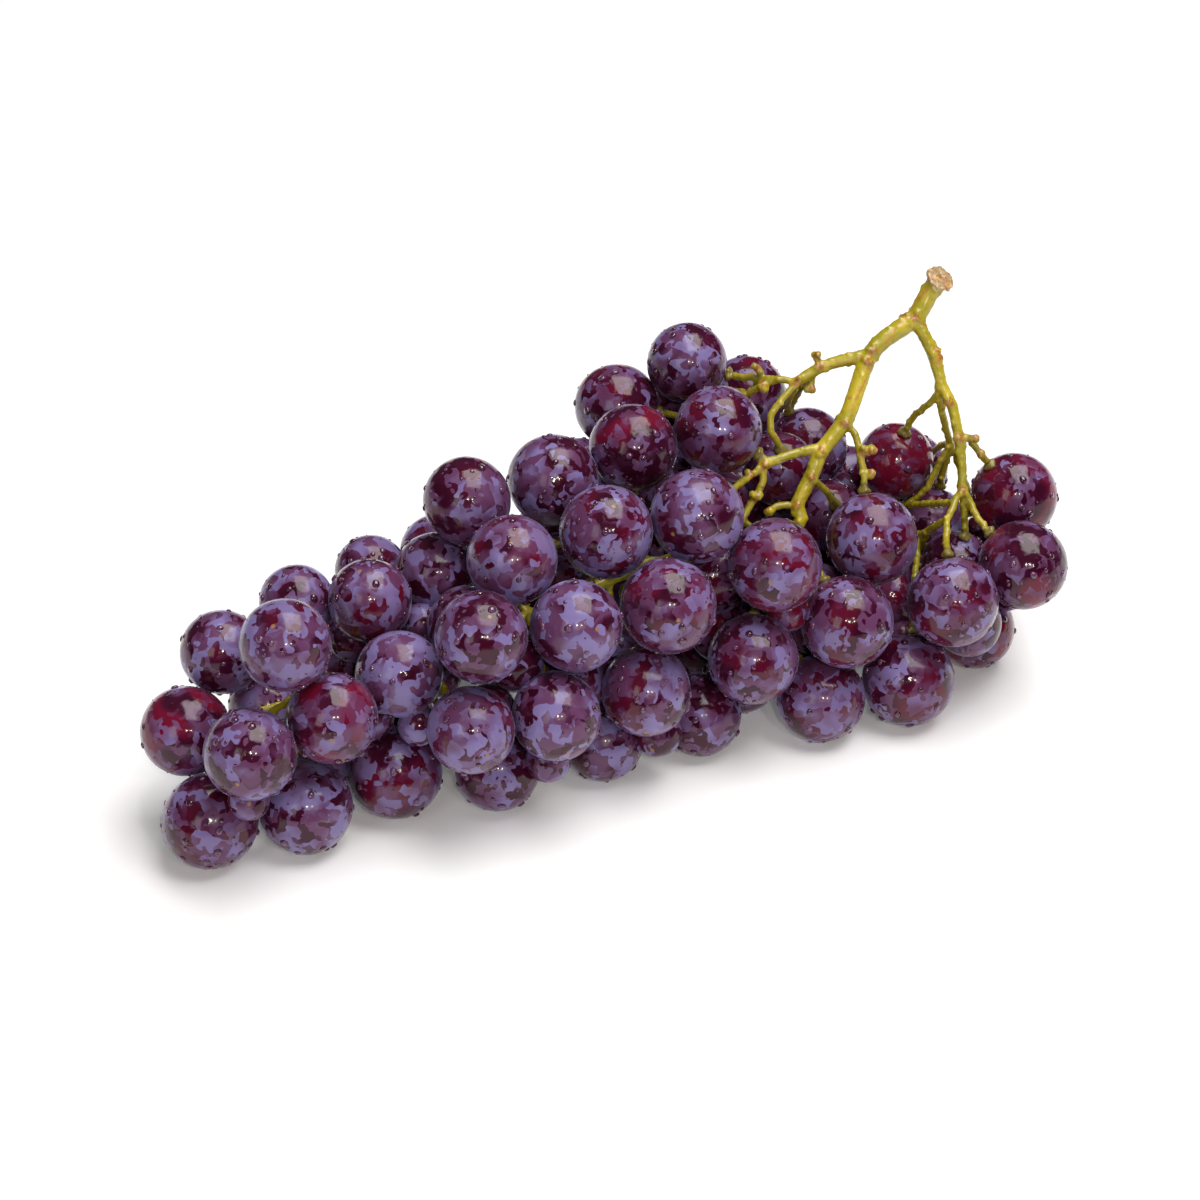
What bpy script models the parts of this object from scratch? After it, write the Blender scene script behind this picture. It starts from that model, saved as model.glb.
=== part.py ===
# A bunch of round black table grapes, lying on a surface with its cut stem raised.
# Metres, +Z up. +X runs along the bunch from its tip to its stem end, and +Y is its far side.
import math

import bmesh
import bpy
import numpy as np
from mathutils import Vector

# Driving sizes
GRAPE_DIAMETER = 0.025  # of the mean grape
SKIN_GAP = 0.0003  # between two grapes, and between a grape and the stem
PRESSED = 0.90  # grapes of one spray stand this share of their radii apart, pressed together
REST_ANGLE = math.radians(15)  # half angle of the flat spot under a grape that lies on the surface
SMALLEST_FAR_RADIUS = 0.0108
LARGEST_FAR_RADIUS = 0.0126
PEDUNCLE_RADIUS = 0.0028
CUT_END_RADIUS = 0.0037
RACHIS_RADIUS = 0.0019
RACHIS_TIP_RADIUS = 0.0011
LATERAL_RADIUS = 0.0012
LATERAL_LENGTH = 0.012
PEDICEL_RADIUS = 0.0008
RECEPTACLE_RADIUS = 0.0015
RECEPTACLE_LENGTH = 0.0014
LATERALS_IN_WHORL = 3
WHORL_TURN = 0.38  # of a full turn, from one whorl to the next
LATERAL_LEAN = -0.45  # towards the tip of the bunch
SHORTEST_LATERAL = 0.005
WIDENED = 1.2  # where a pedicel roots, and at the end of a spur
RACHIS_CLEARANCE = 0.0030  # from the rachis's middle line to a grape's skin

# How the grapes find their places. A share is of the way, for each round.
SETTLE_ROUNDS = 800
HOMEWARD = 0.02  # share back to the place that was read
SIGHTWARD = 0.03  # share back to the line of sight
PUSH = 0.5  # share of an overlap taken out
PUSH_SHOWN = 0.06  # the same where both grapes show
YIELD = 0.1  # share of a push that a grape that shows takes from one that doesn't
SLIDE = 0.2  # share of the slide along the lines of sight
LONGEST_SLIDE = 0.001
SHRINK_ROUNDS = 4
FAR_CANDIDATES = 6000
NEAREST_REACH = 0.6  # of the ring's reach, for a candidate
FURTHEST_REACH = 1.25
NEAR_FLOOR = 0.3  # a candidate less than this share of its radius off the surface lies on it
RIM_POINTS = 24
NEIGHBOURS = 3
EASED = 0.0025  # how far a new grape may press on its neighbours before they settle
CROWDING = 0.008  # how much further a spray reaches rather than take a grape over its size

# How the pedicels find their way
ROOTS_ALONG_STRETCH = (0.05, 0.38, 0.71)  # shares of each stretch of the rachis where pedicels root
PEDICEL_STEPS = 9
BEND_ROUNDS = 60
SPARSER = (4, 3, 2)  # every fourth point of a way is kept, or else every third or second
STARTS_TRIED = 10
ROOT_SPACING = 0.0012
SHORTEST_PEDICEL = 0.005
SHARPEST_BEND = 0.2  # cosine of the turn at a bend
BARE_POINTS = 6  # points of the stem's path, at the cut end, that bear nothing
CURVE_STEPS = 2
TURNS = [np.array(turn) for turn in (
    (0, 0, 0), (0.6, 0, 0), (-0.6, 0, 0), (0, 0.6, 0), (0, -0.6, 0), (0, 0, 0.6), (0, 0, -0.6),
)]
SHARP_ANGLE = math.radians(50)

# How many grapes the view doesn't show, and how they are gathered
FAR_GRAPES = 34
SPRAYS = 10
SPRAY_SIZE = 5
SEED = 7

# Facets
GRAPE_SEGMENTS = 12
GRAPE_RINGS = 8
FAR_SEGMENTS = 10
FAR_RINGS = 6
BRANCH_SIDES = 8
TWIG_SIDES = 6
SHOWN_PEDICEL_SIDES = 5
LATERAL_SIDES = 4
PEDICEL_SIDES = 3

# The view that the places of the grapes were read from: where it looks from, and its scale
VIEW_AZIMUTH = math.radians(-26)
VIEW_ELEVATION = math.radians(33)
VIEW_DISTANCE = 0.900
LOOK_AT = np.array((0.0, 0.0, 0.030))
MIDDLE_PIXEL = 600
MEAN_GRAPE_PIXELS = 44.5  # radius of the mean grape in the view

MM = 0.001
FLOOR = None

# Grapes that show, in rows from the surface up and from the tip to the stem end. Each is the
# pixel of its middle across and down, its radius in pixels, and the height of its middle
# over the surface in millimetres, or FLOOR where it lies on the surface.
FLOOR_ROW = (
    (210, 820, 48, FLOOR),
    (306, 807, 47, FLOOR),
    (395, 772, 47, FLOOR),
    (497, 769, 42, FLOOR),
    (603, 742, 40, FLOOR),
    (700, 715, 41, FLOOR),
    (821, 698, 44, FLOOR),
    (908, 680, 46, FLOOR),
    (974, 629, 40, FLOOR),
)
SECOND_ROW = (
    (186, 731, 45, 30),
    (250, 754, 46, 33),
    (332, 718, 46, 40),
    (471, 730, 44, 33),
    (556, 716, 45, 35),
    (646, 691, 45, 30),
    (753, 659, 45, 30),
    (847, 622, 46, 35),
    (953, 602, 45, 35),
)
THIRD_ROW = (
    (285, 645, 46, 56),
    (399, 674, 44, 46),
    (481, 637, 46, 53),
    (576, 626, 46, 54),
    (668, 606, 48, 50),
    (775, 565, 47, 58),
    (872, 539, 46, 52),
    (1023, 565, 44, 39),
)
FOURTH_ROW = (
    (222, 652, 42, 46),
    (370, 601, 42, 54),
    (436, 573, 41, 55),
    (512, 560, 45, 66),
    (606, 532, 47, 67),
    (697, 516, 47, 70),
    (1014, 496, 43, 47),
)
FIFTH_ROW = (
    (297, 603, 38, 48),
    (371, 571, 36, 50),
    (438, 552, 38, 50),
    (467, 501, 44, 74),
    (553, 480, 45, 70),
    (633, 448, 44, 77),
    (718, 430, 44, 81),
    (895, 461, 38, 50),
)
TOP_ROW = (
    (617, 406, 42, 72),
    (687, 363, 40, 84),
    (746, 396, 40, 65),
    (807, 448, 40, 54),
    (779, 469, 37, 60),
)
BEHIND_ROW = (
    (930, 523, 36, 34),
    (827, 515, 36, 42),
    (955, 567, 36, 32),
)
SHOWN_GRAPES = FLOOR_ROW + SECOND_ROW + THIRD_ROW + FOURTH_ROW + FIFTH_ROW + TOP_ROW + BEHIND_ROW

# Grapes of which only a sliver shows, deep between the others
DEEP_GRAPES = (
    (265, 705, 40, 24),
    (425, 632, 40, 44),
    (580, 472, 38, 58),
    (672, 420, 40, 60),
    (748, 548, 38, 50),
    (735, 490, 38, 60),
    (720, 575, 38, 38),
    (790, 555, 38, 47),
    (755, 705, 38, FLOOR),
    (867, 480, 36, 45),
    (872, 515, 38, 36),
    (903, 468, 36, 38),
    (893, 594, 36, 21),
    (985, 537, 36, 28),
)

# The middle of the ring of grapes on the far side and underneath, from the tip to the stem
# end, and how far from it they stand: x, y, z and reach in millimetres
FAR_RING = (
    (-122, -12, 24, 18),
    (-100, -12, 26, 22),
    (-70, -10, 30, 26),
    (-35, -8, 34, 31),
    (0, -6, 38, 36),
    (40, -4, 42, 40),
    (75, -6, 38, 38),
    (104, -12, 30, 26),
)

# The stem. Where it shows, a point is a pixel across and down and its distance from the eye
# in millimetres. Inside the bunch, the rachis has x, y and z in millimetres.
RACHIS_INSIDE = (
    (-94, -13, 33),
    (-74, -14, 34),
    (-44, -14, 38),
    (-10, -12, 43),
    (26, -9, 47),
)
MAIN_STEM = (
    (796, 530, 889),
    (797, 505, 889),
    (812, 475, 888),
    (821, 451, 888),
    (844, 423, 890),
    (856, 392, 891),
    (868, 358, 893),
    (886, 338, 894),
    (915, 318, 896),
    (928, 295, 896),
    (945, 273, 895),
)
# Branches that show: start radius, end radius in millimetres, then the points
RIGHT_WING = (2.0, 1.2, ((912, 316, 896), (920, 328, 896), (934, 356, 897), (942, 386, 898),
                         (952, 405, 898), (959, 439, 899), (962, 468, 900), (962, 490, 900)))
UPPER_LATERAL = (1.9, 1.5, ((872, 354, 893), (845, 360, 893), (821, 367, 893), (797, 382, 892)))
LOWER_LATERAL = (1.5, 1.1, ((824, 448, 888), (809, 450, 887), (783, 457, 885), (763, 467, 884)))
BACK_TWIG = (1.2, 0.9, ((938, 384, 898), (942, 413, 905), (950, 443, 914)))
BRANCHES = (RIGHT_WING, UPPER_LATERAL, LOWER_LATERAL, BACK_TWIG)

# Short spurs that bear no grape: the points, as above
SPURS = (
    ((820, 366, 893), (817, 356, 892)),
    ((814, 371, 893), (811, 388, 895)),
    ((762, 378, 896), (757, 368, 895)),
    ((860, 455, 888), (872, 452, 887)),
    ((862, 470, 888), (872, 474, 887)),
    ((962, 436, 899), (974, 438, 898)),
    ((796, 506, 889), (780, 505, 888), (768, 510, 887)),
)
# Pedicels that show: the points, the pixel where the grape is met, and the grape's own pixel
SHOWN_PEDICELS = (
    (((797, 382, 892), (780, 379, 893), (762, 378, 896), (742, 377, 900)), (727, 374), (687, 363)),
    (((780, 379, 893), (762, 385, 895), (748, 394, 898), (714, 405, 900), (678, 416, 900)),
     (657, 412), (617, 406)),
    (((797, 382, 892), (780, 402, 890), (770, 416, 889), (771, 432, 889)), (781, 451), (779, 469)),
    (((799, 380, 892), (788, 400, 904)), (790, 414), (807, 448)),
    (((764, 467, 884), (750, 476, 883), (738, 484, 882)), (730, 488), (735, 490)),
    (((764, 465, 884), (763, 482, 884), (756, 496, 884)), (748, 508), (748, 548)),
    (((812, 478, 888), (826, 491, 895)), (835, 506), (827, 515)),
    (((848, 424, 890), (856, 436, 889), (861, 458, 888), (864, 480, 887)), (865, 493), (872, 539)),
    (((942, 387, 898), (930, 403, 903), (914, 416, 909)), (904, 434), (895, 461)),
    (((950, 442, 914), (946, 460, 917), (942, 476, 921)), (940, 487), (930, 523)),
    (((950, 442, 914), (940, 446, 922)), (928, 456), (903, 468)),
    (((960, 437, 899), (970, 439, 901), (979, 453, 904)), (991, 466), (1014, 496)),
    (((962, 488, 900), (955, 502, 898), (947, 521, 895), (946, 538, 893)), (948, 557), (953, 602)),
    (((948, 519, 895), (933, 527, 901), (918, 536, 908), (914, 550, 913)), (914, 564), (893, 594)),
    (((962, 488, 900), (963, 506, 901), (965, 522, 903)), (964, 538), (955, 567)),
    (((962, 486, 900), (970, 502, 900), (977, 517, 899)), (988, 531), (1023, 565)),
)

GRAPE_PURPLE = (0.055, 0.012, 0.040, 1.0)
STEM_GREEN = (0.36, 0.38, 0.035, 1.0)


def view_axes():
    # Towards the eye, to the right and up the picture
    back = np.array((
        math.sin(VIEW_AZIMUTH) * math.cos(VIEW_ELEVATION),
        -math.cos(VIEW_AZIMUTH) * math.cos(VIEW_ELEVATION),
        math.sin(VIEW_ELEVATION),
    ))
    right = np.array((math.cos(VIEW_AZIMUTH), math.sin(VIEW_AZIMUTH), 0.0))
    return back, right, np.cross(back, right)


BACK, RIGHT, UP = view_axes()
FOCAL_PIXELS = VIEW_DISTANCE * MEAN_GRAPE_PIXELS / (GRAPE_DIAMETER / 2)
EYE = LOOK_AT + VIEW_DISTANCE * BACK


def sight(across, down):
    # The step along a pixel's line of sight for each metre of distance from the eye
    right = RIGHT * (across - MIDDLE_PIXEL) / FOCAL_PIXELS
    return right - UP * (down - MIDDLE_PIXEL) / FOCAL_PIXELS - BACK


def shown_point(across, down, distance_mm):
    return EYE + sight(across, down) * distance_mm * MM


def pixels_of(places):
    # Pixels across and down, and distances from the eye
    away = places - EYE
    distance = -away @ BACK
    across = MIDDLE_PIXEL + FOCAL_PIXELS * (away @ RIGHT) / distance
    down = MIDDLE_PIXEL - FOCAL_PIXELS * (away @ UP) / distance
    return across, down, distance


class Bunch:
    """The grapes' middles and radii, and what holds each in its place."""

    def __init__(self):
        self.places = np.zeros((0, 3))
        self.radii = np.zeros(0)
        self.on_floor = np.zeros(0, bool)
        self.sights = np.zeros((0, 3))  # zero for a grape that the view doesn't place
        self.bonds = []

    def add(self, place, radius, on_floor, line=(0.0, 0.0, 0.0)):
        self.places = np.vstack((self.places, place))
        self.radii = np.append(self.radii, radius)
        self.on_floor = np.append(self.on_floor, on_floor)
        self.sights = np.vstack((self.sights, line))

    def add_by_pixel(self, across, down, pixels, height, held=True):
        line = sight(across, down)
        if height is FLOOR:
            sink = pixels / FOCAL_PIXELS * math.cos(REST_ANGLE)
            distance = EYE[2] / (sink - line[2])
        else:
            distance = (height * MM - EYE[2]) / line[2]
        place = EYE + line * distance
        self.add(place, pixels / FOCAL_PIXELS * distance, height is FLOOR, line * held)

    def shown(self):
        return np.linalg.norm(self.sights, axis=1) > 0

    def pairs(self):
        """Each pair of grapes, which are bonded, and how far apart they are and should be."""
        first, second = np.triu_indices(len(self.radii), 1)
        bonded = np.zeros(len(first), bool)
        for one, other in self.bonds:
            bonded |= (first == min(one, other)) & (second == max(one, other))
        away = self.places[second] - self.places[first]
        want = self.radii[first] + self.radii[second] + SKIN_GAP
        return first, second, bonded, np.linalg.norm(away, axis=1), want


def nearest_on_path(path, places):
    """The point of a polyline that is nearest to each place, and how far it is."""
    best = np.full(len(places), np.inf)
    found = np.zeros((len(places), 3))
    for start, end in zip(path, path[1:]):
        run = end - start
        share = np.clip((places - start) @ run / (run @ run), 0, 1)
        points = start + share[:, None] * run
        away = np.linalg.norm(places - points, axis=1)
        nearer = away < best
        best[nearer] = away[nearer]
        found[nearer] = points[nearer]
    return found, best


def settle(bunch, stem, rounds):
    """Moves overlapping grapes apart, and those that show mostly along their lines of sight."""
    shown = bunch.shown()
    rest = bunch.radii * math.cos(REST_ANGLE)
    first, second, bonded, _, want = bunch.pairs()
    both_shown = shown[first] & shown[second] & ~bonded
    # A pair of which one grape shows leaves most of the move to the other
    share = np.full(len(first), 0.5)
    share[shown[first] & ~shown[second]] = YIELD
    share[~shown[first] & shown[second]] = 1 - YIELD
    strength = np.where(both_shown, PUSH_SHOWN, PUSH)
    home = bunch.places.copy()
    for turn in range(rounds):
        bunch.places += HOMEWARD * (1 - turn / rounds) * (home - bunch.places)
        away = bunch.places[second] - bunch.places[first]
        distance = np.linalg.norm(away, axis=1)
        push = np.clip(want - distance, 0, None)
        push[bonded] = (PRESSED * want - distance)[bonded]
        move = away / distance[:, None] * (strength * push)[:, None]
        np.subtract.at(bunch.places, first, move * share[:, None])
        np.add.at(bunch.places, second, move * (1 - share)[:, None])
        # A pair that shows slides along the lines of sight until it no longer overlaps
        depth = (EYE - bunch.places) @ BACK
        apart = depth[second] - depth[first]
        beside = np.clip(distance ** 2 - apart ** 2, 0, None)
        needed = np.sqrt(np.clip(want ** 2 - beside, 0, None)) - np.abs(apart)
        slide = np.clip(needed * SLIDE, 0, LONGEST_SLIDE) * np.where(apart >= 0, 1, -1)
        slide[~both_shown | (push <= 0)] = 0
        np.subtract.at(bunch.places, first, bunch.sights[first] * slide[:, None])
        np.add.at(bunch.places, second, bunch.sights[second] * slide[:, None])
        # Back towards the line of sight, clear of the stem and of the surface
        on_line = EYE + bunch.sights * ((EYE - bunch.places) @ BACK)[:, None]
        bunch.places[shown] += SIGHTWARD * (on_line - bunch.places)[shown]
        nearest, gap = nearest_on_path(stem, bunch.places)
        short = np.clip(bunch.radii + RACHIS_CLEARANCE - gap, 0, None)
        bunch.places += (bunch.places - nearest) / gap[:, None] * short[:, None] * PUSH
        low = rest - bunch.places[:, 2]
        bunch.places[:, 2] += np.where(bunch.on_floor, low, np.clip(low + SKIN_GAP, 0, None))


def shrink_to_fit(bunch):
    """Takes what overlap is left off the two grapes' radii."""
    for _ in range(SHRINK_ROUNDS):
        first, second, bonded, distance, want = bunch.pairs()
        over = np.clip(want - distance, 0, None) / 2
        over[bonded] = 0
        loss = np.zeros(len(bunch.radii))
        np.maximum.at(loss, first, over)
        np.maximum.at(loss, second, over)
        bunch.radii = bunch.radii - loss
    bunch.places[bunch.on_floor, 2] = bunch.radii[bunch.on_floor] * math.cos(REST_ANGLE)


def hidden(place, radius, bunch, shown_count):
    """Whether the grapes that show cover a grape in the view."""
    across, down, distance = pixels_of(place)
    angle = np.linspace(0, 2 * math.pi, RIM_POINTS, endpoint=False)
    size = radius * FOCAL_PIXELS / distance
    rim_across = across + size * np.cos(angle)
    rim_down = down + size * np.sin(angle)
    other_across, other_down, other_distance = pixels_of(bunch.places[:shown_count])
    other_size = bunch.radii[:shown_count] * FOCAL_PIXELS / other_distance
    nearer = other_distance < distance
    reach = np.hypot(rim_across[:, None] - other_across, rim_down[:, None] - other_down)
    return np.all(np.any((reach < other_size) & nearer, axis=1))


def add_far_grapes(bunch, stem, random):
    """Packs grapes where the view doesn't reach: on the far side, underneath and inside."""
    shown_count = len(bunch.radii)
    ring = np.array(FAR_RING) * MM
    candidates = []
    for _ in range(FAR_CANDIDATES):
        along = random.uniform(0, len(ring) - 1)
        step = int(along)
        middle = ring[step] + (along - step) * (ring[step + 1] - ring[step])
        angle = random.uniform(0, 2 * math.pi)
        radius = random.uniform(SMALLEST_FAR_RADIUS, LARGEST_FAR_RADIUS)
        reach = middle[3] * random.uniform(NEAREST_REACH, FURTHEST_REACH)
        place = middle[:3] + reach * np.array((0, math.cos(angle), math.sin(angle)))
        rest = radius * math.cos(REST_ANGLE)
        on_floor = place[2] < rest + NEAR_FLOOR * radius
        if on_floor:
            place[2] = rest
        if hidden(place, radius, bunch, shown_count):
            candidates.append((*place, radius, on_floor))
    candidates = np.array(candidates)
    _, gap = nearest_on_path(stem, candidates[:, :3])
    candidates = candidates[gap > candidates[:, 3] + RACHIS_CLEARANCE]
    for _ in range(FAR_GRAPES):
        away = np.linalg.norm(candidates[:, None, :3] - bunch.places, axis=2)
        gaps = away - candidates[:, None, 3] - bunch.radii - SKIN_GAP
        fits = gaps.min(axis=1) > -EASED
        if not fits.any():
            break
        candidates = candidates[fits]
        # The snuggest place, which is the nearest to its neighbours
        snug = np.sort(gaps[fits], axis=1)[:, :NEIGHBOURS].sum(axis=1)
        best = candidates[np.argmin(snug)]
        bunch.add(best[:3], best[3], bool(best[4]))


def gather_sprays(bunch, singles):
    """Joins the grapes after the singles into sprays, the nearest two first, and bonds them."""
    middles = bunch.places
    gap = np.linalg.norm(middles[:, None] - middles, axis=2) - bunch.radii[:, None] - bunch.radii
    sprays = [[grape] for grape in range(singles, len(bunch.radii))]
    while len(sprays) > SPRAYS:
        choices = []
        for number, spray in enumerate(sprays):
            for other in sprays[:number]:
                bond = min(((gap[one, two], one, two) for one in spray for two in other))
                crowd = max(len(spray) + len(other) - SPRAY_SIZE, 0)
                choices.append((bond[0] + crowd * CROWDING, bond, spray, other))
        _, bond, spray, other = min(choices, key=lambda choice: choice[:2])
        bunch.bonds.append(bond[1:])
        spray += other
        sprays.remove(other)
    return sprays


def smooth_path(points, steps):
    """A Catmull-Rom curve through the points, with some steps to each stretch."""
    ends = [2 * points[0] - points[1], *points, 2 * points[-1] - points[-2]]
    curve = []
    for before, start, end, after in zip(ends, ends[1:], ends[2:], ends[3:]):
        for step in range(steps):
            t = step / steps
            curve.append(0.5 * (
                2 * start
                + (end - before) * t
                + (2 * before - 5 * start + 4 * end - after) * t ** 2
                + (3 * start - before - 3 * end + after) * t ** 3
            ))
    curve.append(points[-1])
    return curve


def tube(name, points, radii, sides, collection):
    """A closed tube along the points, its rings turned as little as they can be."""
    mesh = bmesh.new()
    side = None
    rings = []
    for index, (point, radius) in enumerate(zip(points, radii)):
        before = points[max(index - 1, 0)]
        after = points[min(index + 1, len(points) - 1)]
        along = Vector(after - before).normalized()
        if side is None:
            side = along.orthogonal().normalized()
        side = (side - along * side.dot(along)).normalized()
        other = along.cross(side)
        ring = []
        for corner in range(sides):
            angle = 2 * math.pi * corner / sides
            offset = side * math.cos(angle) + other * math.sin(angle)
            ring.append(mesh.verts.new(Vector(point) + offset * float(radius)))
        rings.append(ring)
    for ring, following in zip(rings, rings[1:]):
        for corner in range(sides):
            turn = (corner + 1) % sides
            mesh.faces.new((ring[corner], ring[turn], following[turn], following[corner]))
    mesh.faces.new(reversed(rings[0]))
    mesh.faces.new(rings[-1])
    return object_from(mesh, name, collection)


def object_from(mesh, name, collection):
    data = bpy.data.meshes.new(name)
    mesh.to_mesh(data)
    mesh.free()
    piece = bpy.data.objects.new(name, data)
    collection.objects.link(piece)
    return piece


def clearance(path, radius, bunch):
    """The least gap between a thin tube and the grapes."""
    path = np.array(path)
    shares = np.linspace(0, 1, 7)[:, None, None]
    samples = (path[:-1] + shares * (path[1:] - path[:-1])).reshape(-1, 3)
    away = np.linalg.norm(samples[:, None] - bunch.places, axis=2)
    return (away - bunch.radii).min() - radius


def bent_clear(start, end, out, radius, bunch):
    """A path from the stem to the skin of a grape that bends round the other grapes."""
    shares = np.linspace(0, 1, PEDICEL_STEPS)[:, None]
    path = start + shares * (end + out * RECEPTACLE_LENGTH * 2 - start)
    keep_off = bunch.radii + radius + 2 * SKIN_GAP
    for _ in range(BEND_ROUNDS):
        path[1:-1] = 0.5 * path[1:-1] + 0.25 * (path[:-2] + path[2:])
        away = path[1:-1, None] - bunch.places
        distance = np.linalg.norm(away, axis=2)
        short = np.clip(keep_off - distance, 0, None)
        worst = np.argmax(short, axis=1)
        rows = np.arange(len(worst))
        path[1:-1] += away[rows, worst] / distance[rows, worst, None] * short[rows, worst, None]
    return [*path, end]


def route_pedicel(grape, starts, bunch):
    """The shortest clear way from the stem to a grape, met where the view doesn't see it."""
    middle = bunch.places[grape]
    radius = bunch.radii[grape]
    others = np.delete(np.arange(len(bunch.radii)), grape)
    ways = []
    away = np.linalg.norm(starts - middle, axis=1)
    for start in starts[np.argsort(away)[:STARTS_TRIED]]:
        direct = (start - middle) / np.linalg.norm(start - middle)
        for turn in TURNS:
            out = direct + turn
            out = out / np.linalg.norm(out)
            end = middle + out * (radius + SKIN_GAP)
            free = np.linalg.norm(end - bunch.places[others], axis=1) - bunch.radii[others]
            if free.min() < RECEPTACLE_RADIUS + SKIN_GAP:
                continue
            if np.linalg.norm(start - end) < SHORTEST_PEDICEL:
                continue
            cost = np.linalg.norm(start - end) * (1 + max(out @ BACK, 0))
            ways.append((cost, len(ways), start, end, out))
    ways.sort(key=lambda way: way[:2])
    for _, _, start, end, out in ways:
        path = bent_clear(start, end, out, PEDICEL_RADIUS, bunch)
        steps = np.diff(path, axis=0)
        steps = steps / np.linalg.norm(steps, axis=1)[:, None]
        if np.sum(steps[1:] * steps[:-1], axis=1).min() < SHARPEST_BEND:
            continue
        if clearance(path[:-1], PEDICEL_RADIUS, bunch) > SKIN_GAP / 2:
            for stride in SPARSER:
                sparse = [path[0], *path[stride:-2:stride], path[-2], path[-1]]
                if clearance(sparse[:-1], PEDICEL_RADIUS, bunch) > SKIN_GAP / 2:
                    return sparse
            return path
    return None


def grape_mesh(middle, radius, on_floor, segments, rings, name, collection):
    """A faceted grape, placed by its location. One that lies on the surface has a flat spot."""
    mesh = bmesh.new()
    bmesh.ops.create_uvsphere(mesh, u_segments=segments, v_segments=rings, radius=radius)
    if on_floor:
        mesh.verts.ensure_lookup_table()
        pole = min(mesh.verts, key=lambda vert: vert.co.z)
        ring = [edge.other_vert(pole) for edge in pole.link_edges]
        bmesh.ops.delete(mesh, geom=[pole], context="VERTS")
        for vert in ring:
            around = Vector((vert.co.x, vert.co.y, 0)).normalized()
            vert.co = around * radius * math.sin(REST_ANGLE)
            vert.co.z = -radius * math.cos(REST_ANGLE)
        bmesh.ops.contextual_create(mesh, geom=ring)
        bmesh.ops.recalc_face_normals(mesh, faces=mesh.faces)
    piece = object_from(mesh, name, collection)
    piece.location = middle
    return piece


def keep_largest(data):
    """Drops the scraps that a union leaves, and fills the hollows that it seals."""
    mesh = bmesh.new()
    mesh.from_mesh(data)
    waiting = set(mesh.verts)
    islands = []
    while waiting:
        front = [waiting.pop()]
        island = set(front)
        while front:
            around = {edge.other_vert(vert) for vert in front for edge in vert.link_edges}
            front = list(around - island)
            island |= around
        waiting -= island
        islands.append(island)
    largest = max(islands, key=len)
    scraps = [vert for vert in mesh.verts if vert not in largest]
    bmesh.ops.delete(mesh, geom=scraps, context="VERTS")
    mesh.to_mesh(data)
    mesh.free()


def fuse(name, pieces, collection):
    """One closed body from overlapping pieces."""
    body = pieces[0]
    body.name = name
    if len(pieces) == 1:
        return body
    cutters = bpy.data.collections.new(name + "_pieces")
    bpy.context.scene.collection.children.link(cutters)
    for piece in pieces[1:]:
        collection.objects.unlink(piece)
        cutters.objects.link(piece)
    union = body.modifiers.new("union", "BOOLEAN")
    union.operation = "UNION"
    union.solver = "MANIFOLD"
    union.operand_type = "COLLECTION"
    union.collection = cutters
    bpy.context.view_layer.update()
    evaluated = body.evaluated_get(bpy.context.evaluated_depsgraph_get())
    fused = bpy.data.meshes.new_from_object(evaluated)
    body.modifiers.clear()
    keep_largest(fused)
    body.data = fused
    body.data.name = name
    for piece in pieces[1:]:
        bpy.data.objects.remove(piece)
    bpy.data.collections.remove(cutters)
    return body


def material(name, colour, roughness):
    made = bpy.data.materials.new(name)
    made.use_nodes = True
    shader = made.node_tree.nodes["Principled BSDF"]
    shader.inputs["Base Color"].default_value = colour
    shader.inputs["Roughness"].default_value = roughness
    shader.inputs["Metallic"].default_value = 0.0
    return made


def tapered(start, end, count):
    return list(np.linspace(start, end, count))


def shown_points(points):
    return [shown_point(*point) for point in points]


def main_stem_pieces(collection):
    """The rachis and the peduncle in one tube, from the tip of the bunch to the cut end."""
    inside = [np.array(point) * MM for point in RACHIS_INSIDE]
    outside = shown_points(MAIN_STEM)
    path = smooth_path([*inside, *outside], CURVE_STEPS)
    within = CURVE_STEPS * len(inside)
    beyond = len(path) - within
    radii = tapered(RACHIS_TIP_RADIUS, RACHIS_RADIUS, within)
    radii += tapered(RACHIS_RADIUS, PEDUNCLE_RADIUS, beyond)
    radii[-1] = CUT_END_RADIUS
    return path, tube("stem", path, radii, BRANCH_SIDES, collection)


def laterals_along(rachis, bunch, collection):
    """Short side branches inside the bunch, in whorls that turn from one to the next."""
    made = []
    tips = []
    for whorl, middle in enumerate(rachis):
        for branch in range(LATERALS_IN_WHORL):
            angle = 2 * math.pi * (branch / LATERALS_IN_WHORL + whorl * WHORL_TURN)
            out = np.array((LATERAL_LEAN, math.cos(angle), math.sin(angle)))
            out = out / np.linalg.norm(out)
            length = LATERAL_LENGTH
            while length > SHORTEST_LATERAL:
                path = [middle, middle + out * length / 2, middle + out * length]
                if clearance(path[1:], LATERAL_RADIUS, bunch) > SKIN_GAP:
                    break
                length -= MM
            if length <= SHORTEST_LATERAL:
                continue
            radii = tapered(LATERAL_RADIUS, PEDICEL_RADIUS, 3)
            made.append(tube("lateral", path, radii, LATERAL_SIDES, collection))
            tips += path[1:]
    return made, tips


def pedicel(path, grape, bunch, sides, collection):
    """A thin stalk that widens into a receptacle where it meets its grape."""
    middle = bunch.places[grape]
    end = path[-1]
    out = (end - middle) / np.linalg.norm(end - middle)
    neck = end + out * RECEPTACLE_LENGTH
    points = [*path[:-1], neck, end]
    if np.linalg.norm(points[-3] - neck) < RECEPTACLE_LENGTH:
        del points[-3]
    radii = tapered(PEDICEL_RADIUS * WIDENED, PEDICEL_RADIUS, len(points) - 1)
    radii.append(RECEPTACLE_RADIUS)
    return tube("pedicel", points, radii, sides, collection)


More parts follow.
